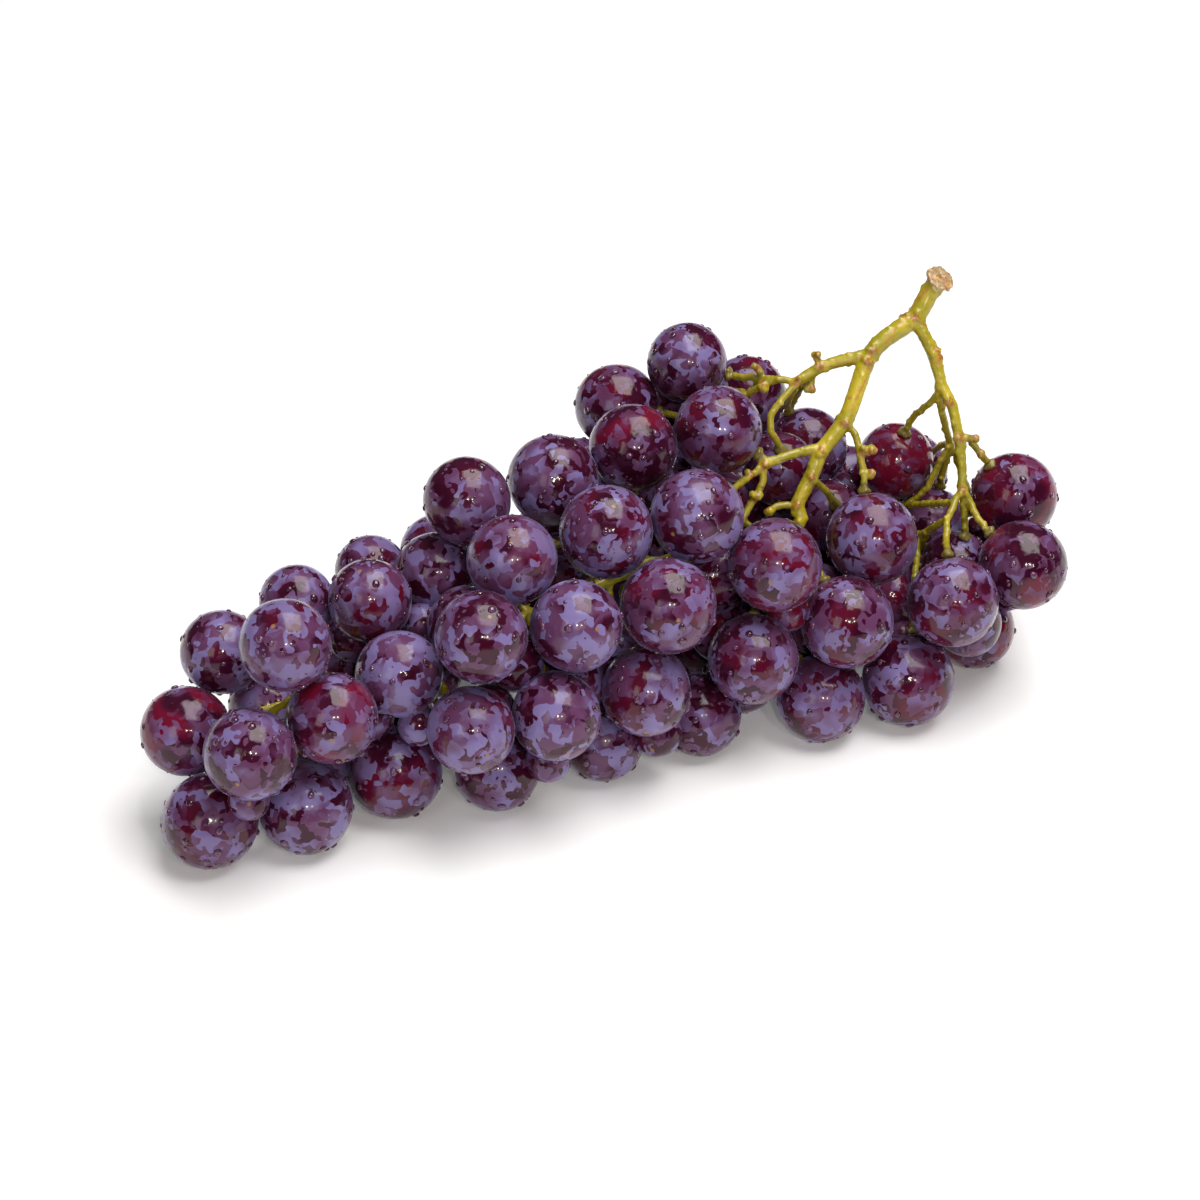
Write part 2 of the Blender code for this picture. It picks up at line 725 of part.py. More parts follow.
def met_at(grape, pixel, bunch):
    """Where a pixel's line of sight meets the skin of a grape, or comes nearest to it."""
    middle = bunch.places[grape]
    line = sight(*pixel)
    line = line / np.linalg.norm(line)
    along = (middle - EYE) @ line
    nearest = EYE + line * along
    miss = np.linalg.norm(nearest - middle)
    radius = bunch.radii[grape]
    half_chord = math.sqrt(max(radius ** 2 - miss ** 2, 0))
    out = nearest - line * half_chord - middle
    return middle + out / np.linalg.norm(out) * (radius + SKIN_GAP)


def stem_pieces(bunch, collection):
    """Everything that the stem is fused from."""
    shown = SHOWN_GRAPES + DEEP_GRAPES
    path, main = main_stem_pieces(collection)
    pieces = [main]
    starts = [
        start + share * (end - start)
        for start, end in zip(path, path[1:-BARE_POINTS])
        for share in ROOTS_ALONG_STRETCH
    ]
    for start_radius, end_radius, points in BRANCHES:
        curve = smooth_path(shown_points(points), CURVE_STEPS)
        radii = tapered(start_radius * MM, end_radius * MM, len(curve))
        pieces.append(tube("branch", curve, radii, TWIG_SIDES, collection))
        starts += curve[CURVE_STEPS:]
    for points in SPURS:
        curve = shown_points(points)
        radii = tapered(PEDICEL_RADIUS, PEDICEL_RADIUS * WIDENED, len(curve))
        pieces.append(tube("spur", curve, radii, LATERAL_SIDES, collection))
    held = set()
    for points, meeting, grape_pixel in SHOWN_PEDICELS:
        grape = min(range(len(shown)), key=lambda index: math.dist(shown[index][:2], grape_pixel))
        held.add(grape)
        curve = [*shown_points(points), met_at(grape, meeting, bunch)]
        pieces.append(pedicel(curve, grape, bunch, SHOWN_PEDICEL_SIDES, collection))
        starts += curve[1:-2]
    within = path[1:CURVE_STEPS * len(RACHIS_INSIDE):CURVE_STEPS]
    laterals, tips = laterals_along(within, bunch, collection)
    pieces += laterals
    starts = np.array(starts + tips)
    for grape in range(len(bunch.radii)):
        if grape in held:
            continue
        way = route_pedicel(grape, starts, bunch)
        if way is None:
            continue
        # Each root bears one pedicel
        starts = starts[np.linalg.norm(starts - way[0], axis=1) > ROOT_SPACING]
        pieces.append(pedicel(way, grape, bunch, PEDICEL_SIDES, collection))
    return pieces


def build():
    for piece in list(bpy.data.objects):
        bpy.data.objects.remove(piece)
    scene = bpy.context.scene.collection
    random = np.random.default_rng(SEED)
    rachis = [np.array(point) * MM for point in RACHIS_INSIDE] + shown_points(MAIN_STEM)

    bunch = Bunch()
    for grape in SHOWN_GRAPES:
        bunch.add_by_pixel(*grape)
    for grape in DEEP_GRAPES:
        bunch.add_by_pixel(*grape, held=False)
    settle(bunch, rachis, SETTLE_ROUNDS)
    add_far_grapes(bunch, rachis, random)
    sprays = gather_sprays(bunch, len(SHOWN_GRAPES))
    settle(bunch, rachis, SETTLE_ROUNDS)
    shrink_to_fit(bunch)

    holder = bpy.data.objects.new("bunch", None)
    scene.objects.link(holder)
    skin = material("grape_skin", GRAPE_PURPLE, 0.3)
    green = material("stem_green", STEM_GREEN, 0.5)
    nodes = []
    for grape in range(len(SHOWN_GRAPES)):
        nodes.append(grape_mesh(
            bunch.places[grape], bunch.radii[grape], bunch.on_floor[grape],
            GRAPE_SEGMENTS, GRAPE_RINGS, f"grape_{grape + 1:02d}", scene,
        ))
    for number, spray in enumerate(sprays):
        pieces = [
            grape_mesh(
                bunch.places[grape], bunch.radii[grape], bunch.on_floor[grape],
                FAR_SEGMENTS, FAR_RINGS, "far_grape", scene,
            )
            for grape in spray
        ]
        kind = "grape_spray" if len(spray) > 1 else "deep_grape"
        nodes.append(fuse(f"{kind}_{number + 1:02d}", pieces, scene))
    for node in nodes:
        node.data.materials.clear()
        node.data.materials.append(skin)
    stem = fuse("stem", stem_pieces(bunch, scene), scene)
    stem.data.materials.clear()
    stem.data.materials.append(green)
    nodes.append(stem)

    for node in nodes:
        node.data.shade_smooth()
        node.data.set_sharp_from_angle(angle=SHARP_ANGLE)
        node.parent = holder
    bpy.context.view_layer.update()
    corners = np.array([
        node.matrix_world @ vert.co for node in nodes for vert in node.data.vertices
    ])
    low = corners.min(axis=0)
    high = corners.max(axis=0)
    holder.location = Vector((-(low[0] + high[0]) / 2, -(low[1] + high[1]) / 2, -low[2]))


build()
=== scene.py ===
# Dresses the bunch of grapes: skins with bloom and drops of water on them, and a knotted green stem.
import math

import bmesh
import bpy
import numpy as np
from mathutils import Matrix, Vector, noise
from mathutils.bvhtree import BVHTree


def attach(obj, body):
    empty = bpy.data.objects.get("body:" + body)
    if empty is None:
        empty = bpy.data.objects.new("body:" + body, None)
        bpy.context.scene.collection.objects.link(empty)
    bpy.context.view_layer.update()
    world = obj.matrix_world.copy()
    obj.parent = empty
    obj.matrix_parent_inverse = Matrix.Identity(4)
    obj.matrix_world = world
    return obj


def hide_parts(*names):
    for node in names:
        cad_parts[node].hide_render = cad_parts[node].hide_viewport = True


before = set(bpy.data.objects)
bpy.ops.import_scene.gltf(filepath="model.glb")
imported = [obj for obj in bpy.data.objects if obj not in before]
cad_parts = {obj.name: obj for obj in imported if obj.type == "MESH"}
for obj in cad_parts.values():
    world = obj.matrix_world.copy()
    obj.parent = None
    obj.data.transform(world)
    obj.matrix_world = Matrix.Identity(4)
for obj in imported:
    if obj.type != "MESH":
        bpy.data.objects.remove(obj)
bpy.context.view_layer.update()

mm = 0.001
scene = bpy.context.scene


# Reading the solids

def pointsOf(node):
    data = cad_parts[node].data
    points = np.empty(len(data.vertices) * 3)
    data.vertices.foreach_get("co", points)
    return np.unique(np.round(points.reshape(-1, 3), 6), axis=0)


def sphereThrough(points):
    # the sphere that fits the points best: its middle, its radius and the worst miss
    table = np.column_stack((2 * points, np.ones(len(points))))
    answer = np.linalg.lstsq(table, (points ** 2).sum(axis=1), rcond=None)[0]
    middle = answer[:3]
    away = np.linalg.norm(points - middle, axis=1)
    return middle, away.mean(), np.abs(away - away.mean()).max()


def spheresOf(node):
    # one sphere for a single grape; a pressed spray is taken apart one sphere after another
    points = pointsOf(node)
    found = []
    while len(points) >= grapeFit["fewestPoints"]:
        best = None
        for start in points:
            near = points[np.argsort(np.linalg.norm(points - start, axis=1))[:grapeFit["patch"]]]
            middle, radius, miss = sphereThrough(near)
            if miss > grapeFit["miss"] or not grapeFit["smallest"] < radius < grapeFit["largest"]:
                continue
            away = np.abs(np.linalg.norm(points - middle, axis=1) - radius)
            count = int((away < grapeFit["miss"]).sum())
            if best is None or count > best[0]:
                best = (count, away < grapeFit["miss"])
        if best is None or best[0] < grapeFit["fewestPoints"]:
            break
        middle, radius, miss = sphereThrough(points[best[1]])
        found.append((middle, radius))
        points = points[~best[1]]
    return found


grapeFit = {
    "patch": 7,  # neighbouring points that a first guess is fitted to
    "fewestPoints": 12,
    "miss": 0.03 * mm,
    "smallest": 7 * mm,
    "largest": 15 * mm,
}
grapes = []  # one entry a grape: its node, middle and radius
for node in sorted(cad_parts):
    if node != "stem":
        grapes += [{"node": node, "middle": m, "radius": r} for m, r in spheresOf(node)]
print("grapes read from the solids:", len(grapes))


# Camera

view = {
    "azimuth": -26,
    "elevation": 33,
    "distance": 0.9,
    "lookAt": (0.0044, 0.0062, 0.030),
    "frame": 1200,  # pixels of the square picture
    "focal": 3204,  # pixels
    "sensor": 36,
}


def aimCamera():
    azimuth = math.radians(view["azimuth"])
    elevation = math.radians(view["elevation"])
    back = Vector((
        math.sin(azimuth) * math.cos(elevation),
        -math.cos(azimuth) * math.cos(elevation),
        math.sin(elevation),
    ))
    right = Vector((math.cos(azimuth), math.sin(azimuth), 0))
    eye = Vector(view["lookAt"]) + back * view["distance"]
    data = bpy.data.cameras.new("camera")
    data.sensor_width = view["sensor"]
    data.lens = view["sensor"] * view["focal"] / view["frame"]
    camera = bpy.data.objects.new("camera", data)
    camera.location = eye
    camera.rotation_euler = back.to_track_quat("Z", "Y").to_euler()
    scene.collection.objects.link(camera)
    scene.camera = camera
    return eye, back, right, back.cross(right)


eye, back, right, up = aimCamera()


def sight(across, down):
    # the line of sight through a pixel of the picture
    middle = view["frame"] / 2
    return (right * (across - middle) - up * (down - middle) - back * view["focal"]).normalized()


# Where each grape hangs from

def stalkOf(grape):
    # the way from a grape's middle to the receptacle that holds it
    away = np.linalg.norm(stemPoints - grape["middle"], axis=1) - grape["radius"]
    nearest = np.argmin(away)
    close = np.linalg.norm(stemPoints - stemPoints[nearest], axis=1) < stalkFit["width"]
    ring = stemPoints[close & (away < away[nearest] + stalkFit["skin"])]
    out = ring.mean(axis=0) - grape["middle"]
    return out / np.linalg.norm(out), away[nearest]


stalkFit = {"width": 3.4 * mm, "skin": 0.1 * mm, "reach": 0.6 * mm}
stemPoints = pointsOf("stem")
for grape in grapes:
    grape["stalk"], gap = stalkOf(grape)
    grape["held"] = gap < stalkFit["reach"]
print("grapes met by a stalk:", sum(grape["held"] for grape in grapes))


# Small helpers for materials

class Nodes:
    def __init__(self, name):
        self.material = bpy.data.materials.new(name)
        self.material.use_nodes = True
        self.tree = self.material.node_tree
        self.shader = self.tree.nodes["Principled BSDF"]

    def node(self, kind, settings=None, **inputs):
        made = self.tree.nodes.new(kind)
        for key, value in (settings or {}).items():
            setattr(made, key, value)
        for key, value in inputs.items():
            self.feed(made.inputs[key.replace("_", " ")], value)
        return made

    def feed(self, socket, value):
        if isinstance(value, bpy.types.NodeSocket):
            self.tree.links.new(value, socket)
        else:
            socket.default_value = value

    def noise(self, where, scale, detail=2.0, roughness=0.5, distortion=0.0):
        made = self.node("ShaderNodeTexNoise", Vector=where, Scale=scale, Detail=detail,
                         Roughness=roughness, Distortion=distortion)
        return made.outputs["Fac"]

    def mix(self, share, first, second):
        made = self.node("ShaderNodeMix", {"data_type": "RGBA"})
        self.feed(made.inputs[0], share)
        self.feed(made.inputs[6], first)
        self.feed(made.inputs[7], second)
        return made.outputs[2]

    def sum(self, operation, first, second=0.0, third=0.0, clamp=False):
        made = self.node("ShaderNodeMath", {"operation": operation, "use_clamp": clamp})
        for socket, value in zip(made.inputs, (first, second, third)):
            self.feed(socket, value)
        return made.outputs[0]

    def range(self, value, low, high, first=0.0, last=1.0):
        made = self.node("ShaderNodeMapRange", {"interpolation_type": "SMOOTHSTEP"})
        for key, number in zip((0, 1, 2, 3, 4), (value, low, high, first, last)):
            self.feed(made.inputs[key], number)
        return made.outputs[0]

    def painted(self, name):
        return self.node("ShaderNodeAttribute", {"attribute_name": name}).outputs["Fac"]

    def bump(self, height, strength, distance):
        made = self.node("ShaderNodeBump", Height=height, Strength=strength, Distance=distance)
        return made.outputs["Normal"]

    def finish(self, **inputs):
        for key, value in inputs.items():
            self.feed(self.shader.inputs[key.replace("_", " ")], value)
        return self.material


def colour(red, green, blue):
    return (red, green, blue, 1.0)


# Skin of the grapes

skinStyle = {
    "wine": colour(0.026, 0.0008, 0.006),
    "crimson": colour(0.155, 0.005, 0.024),
    "plum": colour(0.052, 0.005, 0.025),
    "bloomThin": colour(0.115, 0.038, 0.102),
    "bloomThick": colour(0.200, 0.155, 0.350),
    "lenticel": colour(0.50, 0.22, 0.06),
    "scar": colour(0.30, 0.15, 0.06),
    "flakes": 270,  # to the metre, as the other sizes of the patterns here
    "tearing": 260.0,
    "torn": 0.0085,  # how far the edges of the flakes are pulled about, in metres
    "clouds": 120.0,
    "flakeShare": 0.58,  # what the thickness of the bloom is made up of
    "cloudShare": 0.75,
    "least": 0.085,
    "bloomEdge": (0.60, 0.74),
    "thickEdge": (0.78, 1.04),
    "redPatches": 95.0,
    "redEdge": (0.42, 0.62),
    "redBare": 0.45,  # share of the bloom that is gone where the skin is red
    "tones": 260.0,
    "dotted": 0.74,  # the flakes above this value carry a corky dot
    "dotEdge": (0.038, 0.065),
    "dotStrength": 0.75,
    "scarEdge": (0.35, 0.75),  # mm from the tip
    "relief": 420.0,
    "reliefDetail": 0.6,
    "reliefStrength": 0.34,
    "reliefDepth": 0.8 * mm,
    "rough": (0.11, 0.30),  # bare, and under bloom
}
skinTones = {  # grapes that the picture shows redder or bluer than the rest
    "red": (10, 12, 33, 39, 41),
    "blue": (11, 14, 20, 21, 22),
    "from": 20 * mm,  # toward the stem the grapes grow redder and barer
    "across": 50 * mm,
    "redder": 0.40,
    "barer": 0.03,
    "bloomSpread": 0.05,
    "redSpread": 0.6,
    "bloomStep": 0.06,
    "redRedness": 0.9,
    "blueRedness": 0.05,
}


def skinColour(nodes):
    where = nodes.node("ShaderNodeTexCoord").outputs["Object"]
    wobble = nodes.node("ShaderNodeTexNoise", Vector=where, Scale=skinStyle["tearing"], Detail=1.0,
                        Roughness=0.65).outputs["Color"]
    pulled = nodes.node("ShaderNodeVectorMath", {"operation": "SUBTRACT"})
    nodes.feed(pulled.inputs[0], wobble)
    pulled.inputs[1].default_value = (0.5, 0.5, 0.5)
    torn = nodes.node("ShaderNodeVectorMath", {"operation": "MULTIPLY_ADD"})
    nodes.feed(torn.inputs[0], pulled.outputs[0])
    torn.inputs[1].default_value = (skinStyle["torn"],) * 3
    nodes.feed(torn.inputs[2], where)

    # flakes of bloom of several thicknesses, with crisp torn edges
    flakes = nodes.node("ShaderNodeTexVoronoi", Vector=torn.outputs[0], Scale=skinStyle["flakes"])
    flake = nodes.node("ShaderNodeSeparateColor", Color=flakes.outputs["Color"]).outputs[0]
    cloud = nodes.noise(where, skinStyle["clouds"], 1.0, 0.6)
    amount = nodes.sum("MULTIPLY_ADD", flake, skinStyle["flakeShare"], skinStyle["least"])
    amount = nodes.sum("MULTIPLY_ADD", cloud, skinStyle["cloudShare"], amount)
    amount = nodes.sum("ADD", amount, nodes.painted("bloomAmount"))
    bloom = nodes.range(amount, *skinStyle["bloomEdge"])
    thick = nodes.range(amount, *skinStyle["thickEdge"])

    redPatch = nodes.range(nodes.noise(where, skinStyle["redPatches"], 0.0), *skinStyle["redEdge"])
    redShare = nodes.sum("MULTIPLY", redPatch, nodes.painted("redness"), clamp=True)
    tone = nodes.noise(where, skinStyle["tones"], 0.0, 0.6)
    skin = nodes.mix(tone, skinStyle["wine"], skinStyle["plum"])
    skin = nodes.mix(redShare, skin, skinStyle["crimson"])
    dust = nodes.mix(thick, skinStyle["bloomThin"], skinStyle["bloomThick"])
    left = nodes.sum("SUBTRACT", 1.0, nodes.sum("MULTIPLY", redShare, skinStyle["redBare"]))
    share = nodes.sum("MULTIPLY", bloom, left)
    return where, flakes, nodes.mix(share, skin, dust), share


def lenticels(nodes, flakes):
    # small corky dots, in the middle of some of the flakes only
    chosen = nodes.node("ShaderNodeSeparateColor", Color=flakes.outputs["Color"]).outputs[2]
    chosen = nodes.sum("GREATER_THAN", chosen, skinStyle["dotted"])
    near = nodes.range(flakes.outputs["Distance"], *skinStyle["dotEdge"], 1.0, 0.0)
    return nodes.sum("MULTIPLY", near, chosen)


def makeSkin():
    nodes = Nodes("grapeSkin")
    where, flakes, body, bloom = skinColour(nodes)
    dots = nodes.sum("MULTIPLY", lenticels(nodes, flakes), skinStyle["dotStrength"])
    scar = nodes.range(nodes.painted("fromScar"), *skinStyle["scarEdge"], 1.0, 0.0)
    body = nodes.mix(dots, body, skinStyle["lenticel"])
    body = nodes.mix(scar, body, skinStyle["scar"])
    relief = nodes.noise(where, skinStyle["relief"], skinStyle["reliefDetail"], 0.65)
    return nodes.finish(
        Base_Color=body, Roughness=nodes.range(bloom, 0.0, 1.0, *skinStyle["rough"]),
        Normal=nodes.bump(relief, skinStyle["reliefStrength"], skinStyle["reliefDepth"]),
        Coat_Weight=0.40, Coat_Roughness=0.09, Coat_IOR=1.45, IOR=1.38, Specular_IOR_Level=0.30,
        Sheen_Weight=0.12, Sheen_Roughness=0.35, Sheen_Tint=colour(0.62, 0.60, 1.0),
    )


dewLook = {
    "clouds": 200.0,
    "cloudEdge": (0.35, 0.65),
    "ripple": 0.05,
    "rippleDepth": 0.2 * mm,
    "rough": (0.02, 0.06),
}


def makeDew():
    # a clear drop takes the tint of the skin under it
    nodes = Nodes("dew")
    where = nodes.node("ShaderNodeTexCoord").outputs["Object"]
    cloud = nodes.noise(where, dewLook["clouds"], 0.0)
    tint = nodes.range(cloud, *dewLook["cloudEdge"])
    return nodes.finish(
        Base_Color=nodes.mix(tint, skinStyle["plum"], skinStyle["bloomThin"]),
        Roughness=nodes.range(cloud, 0.3, 0.7, *dewLook["rough"]),
        Normal=nodes.bump(cloud, dewLook["ripple"], dewLook["rippleDepth"]),
        IOR=1.45, Coat_Weight=1.0, Coat_Roughness=0.02, Coat_IOR=1.45,
    )


skinMaterial = makeSkin()
dewMaterial = makeDew()


# Grapes

grapeStyle = {
    "firstSeed": 100,
    "segments": 52,
    "rings": 34,
    "plump": 0.12 * mm,  # the skins touch where the solids keep a gap
    "longest": 0.030,  # share that a grape is stretched along its stalk
    "shortest": -0.012,
    "stretchMiddle": 0.45,
    "uneven": 0.010,
    "unevenSize": 1.6,
    "dimple": 0.5 * mm,
    "dimpleWidth": 0.17,  # radians
    "tipFlat": 0.12 * mm,
    "tipFlatWidth": 0.30,
    "nipple": 0.14 * mm,
    "nippleWidth": 0.035,
    "crowding": 0.045,  # the rings lie closer at the stalk and the tip
}
dewStyle = {
    "drops": 60,  # tried for each grape
    "smallest": 0.24 * mm,
    "largest": 1.35 * mm,
    "rareness": 1.5,  # how seldom the large ones are
    "height": 0.48,  # share of the drop's radius
    "sunk": 0.10 * mm,
    "sides": 10,
    "rings": 3,
    "narrowest": 0.85,
    "twoSided": 0.08,
    "threeSided": 0.05,
    "fromScar": 9.0,  # mm, so that no drop takes the colour of the mark at the tip
    "offFloor": 2.0,  # in widths of the drop, as the next three
    "offGrapes": 1.3,
    "apart": 1.1,
    "offStalk": 0.95,  # cosine
}


def frameAround(axis):
    side = np.cross(axis, (0.0, 0.0, 1.0) if abs(axis[2]) < 0.9 else (1.0, 0.0, 0.0))
    side /= np.linalg.norm(side)
    return side, np.cross(axis, side)


def skinRadius(grape, out, lean):
    # how far the skin is from the middle in a direction; lean is its angle from the stalk
    stretch = 1 + grape["stretch"] * (math.cos(lean) ** 2 - grapeStyle["stretchMiddle"])
    uneven = noise.noise(Vector(out) * grapeStyle["unevenSize"] + grape["seed"])
    stretch += grapeStyle["uneven"] * uneven
    radius = (grape["radius"] + grapeStyle["plump"]) * stretch
    if grape["held"]:
        radius -= grapeStyle["dimple"] * math.exp(-(lean / grapeStyle["dimpleWidth"]) ** 2)
    fromTip = math.pi - lean
    radius -= grapeStyle["tipFlat"] * math.exp(-(fromTip / grapeStyle["tipFlatWidth"]) ** 2)
    radius += grapeStyle["nipple"] * math.exp(-(fromTip / grapeStyle["nippleWidth"]) ** 2)
    return radius


def grapeBody(grape, mesh, layers):
    side, other = frameAround(grape["stalk"])
    segments, rings = grapeStyle["segments"], grapeStyle["rings"]
    rows = []
    for ring in range(rings + 1):
        share = ring / rings
        lean = math.pi * (share - grapeStyle["crowding"] * math.sin(2 * math.pi * share))
        count = 1 if ring in (0, rings) else segments
        row = []
        for segment in range(count):
            angle = 2 * math.pi * segment / segments
            out = math.cos(lean) * grape["stalk"]
            out = out + math.sin(lean) * (math.cos(angle) * side + math.sin(angle) * other)
            place = grape["middle"] + out * skinRadius(grape, out, lean)
            place[2] = max(place[2], 0.0)
            vert = mesh.verts.new(place)
            vert[layers["fromScar"]] = (math.pi - lean) * grape["radius"] / mm
            vert[layers["bloomAmount"]] = grape["bloom"]
            vert[layers["redness"]] = grape["redness"]
            row.append(vert)
        rows.append(row)
    for first, second in zip(rows, rows[1:]):
        for segment in range(segments):
            after = (segment + 1) % segments
            corners = [
                first[segment % len(first)], first[after % len(first)],
                second[after % len(second)], second[segment % len(second)],
            ]
            corners = list(dict.fromkeys(corners))
            mesh.faces.new(corners).smooth = True


def dropAt(grape, out, size, random, mesh, layers):
    # a flattened drop, its foot sunk into the skin
    lean = math.acos(max(-1.0, min(1.0, float(out @ grape["stalk"]))))
    foot = grape["middle"] + out * (skinRadius(grape, out, lean) - dewStyle["sunk"])
    side, other = frameAround(out)
    sides, rings = dewStyle["sides"], dewStyle["rings"]
    wobble = random.uniform(0, 2 * math.pi, 2)
    oval = random.uniform(dewStyle["narrowest"], 1.0)
    rows = []
    for ring in range(rings + 1):
        share = 1 - ring / rings
        height = dewStyle["sunk"] + size * dewStyle["height"] * math.sqrt(1 - share ** 2)
        if ring == 0:
            height = 0.0
        row = []
        for step in range(sides if ring < rings else 1):
            angle = 2 * math.pi * step / sides
            reach = size * share * (1 + dewStyle["twoSided"] * math.sin(2 * angle + wobble[0]))
            reach *= 1 + dewStyle["threeSided"] * math.sin(3 * angle + wobble[1])
            across = math.cos(angle) * side * oval + math.sin(angle) * other
            vert = mesh.verts.new(foot + out * height + across * reach)
            vert[layers["fromScar"]] = dewStyle["fromScar"]
            vert[layers["bloomAmount"]] = grape["bloom"]
            vert[layers["redness"]] = grape["redness"]
            row.append(vert)
        rows.append(row)
    made = [mesh.faces.new(reversed(rows[0]))]
    for first, second in zip(rows, rows[1:]):
        for step in range(sides):
            after = (step + 1) % sides
            corners = [
                first[step], first[after], second[after % len(second)], second[step % len(second)],
            ]
            made.append(mesh.faces.new(list(dict.fromkeys(corners))))
    for face in made:
        face.smooth = True
        face.material_index = 1


def drops(grape, random, mesh, layers):
    kept = []
    for _ in range(dewStyle["drops"]):
        out = random.normal(size=3)
        out /= np.linalg.norm(out)
        size = dewStyle["largest"] - dewStyle["smallest"]
        size = dewStyle["smallest"] + size * random.random() ** dewStyle["rareness"]
        place = grape["middle"] + out * grape["radius"]
        if place[2] < dewStyle["offFloor"] * size:
            continue
        if grape["held"] and out @ grape["stalk"] > dewStyle["offStalk"]:
            continue
        near = np.linalg.norm(middles - place, axis=1) - radii
        if np.sort(near)[1] < dewStyle["offGrapes"] * size:
            continue
        clear = (dewStyle["apart"] * (size + width) <= np.linalg.norm(place - other)
                 for other, width in kept)
        if not all(clear):
            continue
        kept.append((place, size))
        dropAt(grape, out, size, random, mesh, layers)
    return len(kept)


def stemTree():
    mesh = bmesh.new()
    mesh.from_mesh(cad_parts["stem"].data)
    bmesh.ops.remove_doubles(mesh, verts=mesh.verts, dist=1e-6)
    return mesh, BVHTree.FromBMesh(mesh)


innerStyle = {
    "seed": 5,
    "looks": 60,  # directions in which cover is looked for
    "tries": 30000,
    "smallest": 5.5 * mm,
    "largest": 11.0 * mm,
    "pressed": 2.2 * mm,  # how far one may press into its neighbours
    "offStem": 0.9 * mm,
    "around": 45 * mm,
    "covered": 0.68,  # share of the directions that end on another grape
    "coveredAbove": 0.80,  # the same for the directions that lead up
    "up": 0.3,
    "low": 32 * mm,  # one that lies lower needs less cover
    "coveredLow": 0.48,
    # pixels where the floor would show through
    "gaps": ((565, 569), (552, 532), (514, 509), (534, 602), (618, 588)),
    "gapReach": 0.1,  # metres before and behind the middle of the bunch
    "gapStep": 1.0 * mm,
    "smallestInGap": 3.2 * mm,
}


def roomAt(places, allMiddles, allRadii):
    # the radius with which a grape there just presses into a neighbour or lies on the floor
    room = (np.linalg.norm(places[:, None] - allMiddles, axis=2) - allRadii).min(axis=1)
    room = np.minimum(room + innerStyle["pressed"], places[:, 2])
    room[room > innerStyle["largest"]] = 0.0
    wanted = room > 0
    away = [stemSurface.find_nearest(Vector(place))[3] for place in places[wanted]]
    room[wanted] = np.minimum(room[wanted], np.array(away) - innerStyle["offStem"])
    return room


def addInnerGrapes():
    # small grapes deep in the bunch, where the solids leave room between them
    random = np.random.default_rng(innerStyle["seed"])
    directions = random.normal(size=(innerStyle["looks"], 3))
    directions /= np.linalg.norm(directions, axis=1)[:, None]
    low, high = middles.min(axis=0), middles.max(axis=0)
    tries = random.uniform(low, high, (innerStyle["tries"], 3))
    room = roomAt(tries, middles, radii)
    kept = []
    for index in np.argsort(-room):
        place, radius = tries[index], room[index]
        if radius < innerStyle["smallest"]:
            break
        pressed = (np.linalg.norm(place - other) < radius + size - innerStyle["pressed"]
                   for other, size in kept)
        if any(pressed):
            continue
        toward = middles - place
        reach = directions @ toward.T
        beside = np.sqrt(np.clip((toward ** 2).sum(axis=1) - reach ** 2, 0, None))
        hits = (reach > 0) & (reach < innerStyle["around"]) & (beside < radii)
        hits = hits.any(axis=1)
        above = hits[directions[:, 2] > innerStyle["up"]].mean()
        needed = innerStyle["coveredLow" if place[2] < innerStyle["low"] else "covered"]
        if hits.mean() > needed and above > innerStyle["coveredAbove"]:
            kept.append((place, radius))
    for gap in innerStyle["gaps"]:
        # along the line of sight, where there is most room
        steps = np.arange(view["distance"] - innerStyle["gapReach"],
                          view["distance"] + innerStyle["gapReach"], innerStyle["gapStep"])
        places = np.array(eye) + steps[:, None] * np.array(sight(*gap))
        allMiddles = np.vstack([middles] + [place for place, size in kept])
        allRadii = np.append(radii, [size for place, size in kept])
        room = roomAt(places, allMiddles, allRadii)
        inside = (places > low).all(axis=1) & (places < high).all(axis=1)
        room[~inside | (places[:, 2] > innerStyle["low"])] = 0.0
        best = np.argmax(room)
        if room[best] > innerStyle["smallestInGap"]:
            kept.append((places[best], room[best]))
    made = []
    for place, radius in kept:
        nearest = stemSurface.find_nearest(Vector(place))[0]
        stalk = np.array(nearest) - place
        made.append({
            "node": "inner", "middle": place, "radius": radius - grapeStyle["plump"],
            "stalk": stalk / np.linalg.norm(stalk), "held": False,
        })
    return made


stemMesh, stemSurface = stemTree()
middles = np.array([grape["middle"] for grape in grapes])
radii = np.array([grape["radius"] for grape in grapes])
innerGrapes = addInnerGrapes()
print("inner grapes added:", len(innerGrapes))
grapes += innerGrapes
middles = np.array([grape["middle"] for grape in grapes])
radii = np.array([grape["radius"] for grape in grapes])
redNodes = {f"grape_{number:02d}" for number in skinTones["red"]}
blueNodes = {f"grape_{number:02d}" for number in skinTones["blue"]}
for number, grape in enumerate(grapes):
    random = np.random.default_rng(grapeStyle["firstSeed"] + number)
    grape["seed"] = Vector(random.uniform(-50, 50, 3))  # a place of its own in the noise
    grape["stretch"] = random.uniform(grapeStyle["shortest"], grapeStyle["longest"])
    grape["bloom"] = random.normal(0.0, skinTones["bloomSpread"])
    grape["redness"] = random.uniform(0.0, skinTones["redSpread"])
    toStem = (grape["middle"] @ right - skinTones["from"]) / skinTones["across"]
    toStem = min(max(toStem, 0.0), 1.0)
    grape["redness"] += skinTones["redder"] * toStem
    grape["bloom"] -= skinTones["barer"] * toStem
    if grape["node"] in redNodes:
        grape["bloom"] -= skinTones["bloomStep"]
        grape["redness"] = skinTones["redRedness"]
    if grape["node"] in blueNodes:
        grape["bloom"] += skinTones["bloomStep"]
        grape["redness"] = skinTones["blueRedness"]
    grape["random"] = random


